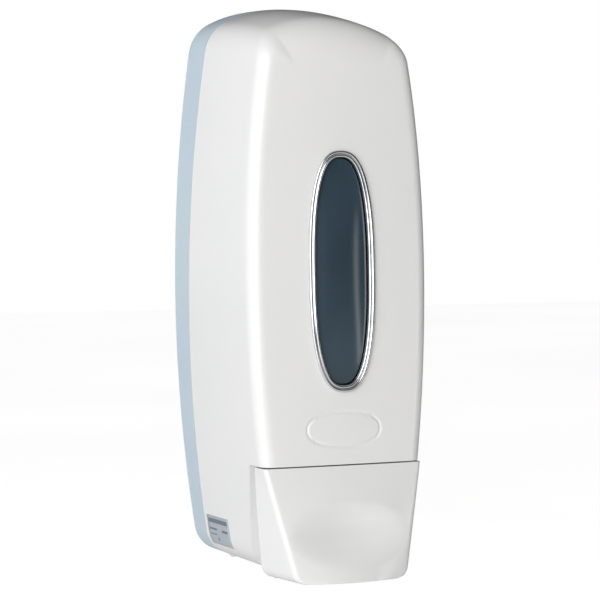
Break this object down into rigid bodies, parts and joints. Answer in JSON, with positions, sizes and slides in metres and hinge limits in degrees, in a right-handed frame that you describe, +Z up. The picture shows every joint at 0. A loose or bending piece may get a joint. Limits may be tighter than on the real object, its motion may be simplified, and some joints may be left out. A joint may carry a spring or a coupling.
{
  "type": "wall mounted soap dispenser",
  "caption": "Wall mounted push-panel liquid soap dispenser with an opening cover, viewing window, refillable tank and piston pump.",
  "frame": {"origin": "middle of the wall plate's flat back, on the wall", "axes": "+Z up, -Y out of the wall towards the user, +X to the right seen from the front"},
  "size_m": [0.08, 0.0847, 0.2205],
  "materials": {
    "cover_white": "glossy moulded ABS",
    "plate_grey": "pale blue-grey moulded ABS",
    "chrome": "bright plated trim",
    "smoke_lens": "smoked clear acrylic",
    "steel": "bright stainless steel",
    "tank_milky": "milky translucent polypropylene",
    "pump_white": "white acetal",
    "silicone": "clear silicone",
    "seal_black": "black nitrile",
    "label_silver": "silver printed film"
  },
  "bodies": {
    "wall_side": {"wall_plate": "plate_grey", "reservoir": "tank_milky", "reservoir_lid": "pump_white", "lid_seal": "silicone", "pump_body": "pump_white", "pump_collar": "pump_white", "inlet_gasket": "silicone", "inlet_valve": "silicone", "outlet_nozzle": "tank_milky", "outlet_valve": "silicone", "latch_spring": "steel", "pump_screw_1": "steel", "pump_screw_2": "steel", "pump_screw_3": "steel", "pump_screw_4": "steel", "return_spring": "steel", "cover_hinge_pin_left": "steel", "cover_hinge_pin_right": "steel"},
    "cover": {"front_cover": "cover_white", "window_bezel": "chrome", "window_lens": "smoke_lens", "side_label": "label_silver", "panel_pivot_pin_left": "steel", "panel_pivot_pin_right": "steel"},
    "panel": {"push_panel": "cover_white"},
    "plunger": {"pump_plunger": "pump_white", "plunger_seal": "seal_black"},
    "latch": {"lock_latch": "pump_white"}
  },
  "joints": [
    {"name": "cover_hinge", "type": "hinge", "parent": "wall_side", "child": "cover", "pos_m": [0, -0.01099, -0.1087], "axis": [1, 0, 0], "range_deg": [0, 85]},
    {"name": "panel_pivot", "type": "hinge", "parent": "cover", "child": "panel", "pos_m": [0, -0.047, -0.06], "axis": [1, 0, 0], "range_deg": [0, 7.5], "stiffness_Nm_per_rad": 0.5, "springref_deg": -5.73},
    {"name": "pump_slide", "type": "slide", "parent": "wall_side", "child": "plunger", "axis": [0, 1, 0], "range_m": [0, 0.0034], "deforming": ["return_spring"]},
    {"name": "latch_slide", "type": "slide", "parent": "wall_side", "child": "latch", "axis": [0, 0, -1], "range_m": [0, 0.003], "stiffness_N_per_m": 300, "springref_m": -0.001, "deforming": ["latch_spring"]}
  ],
  "couplings": [
    {"joint": "pump_slide", "follows": "panel_pivot", "m_per_rad": 0.0245}
  ]
}
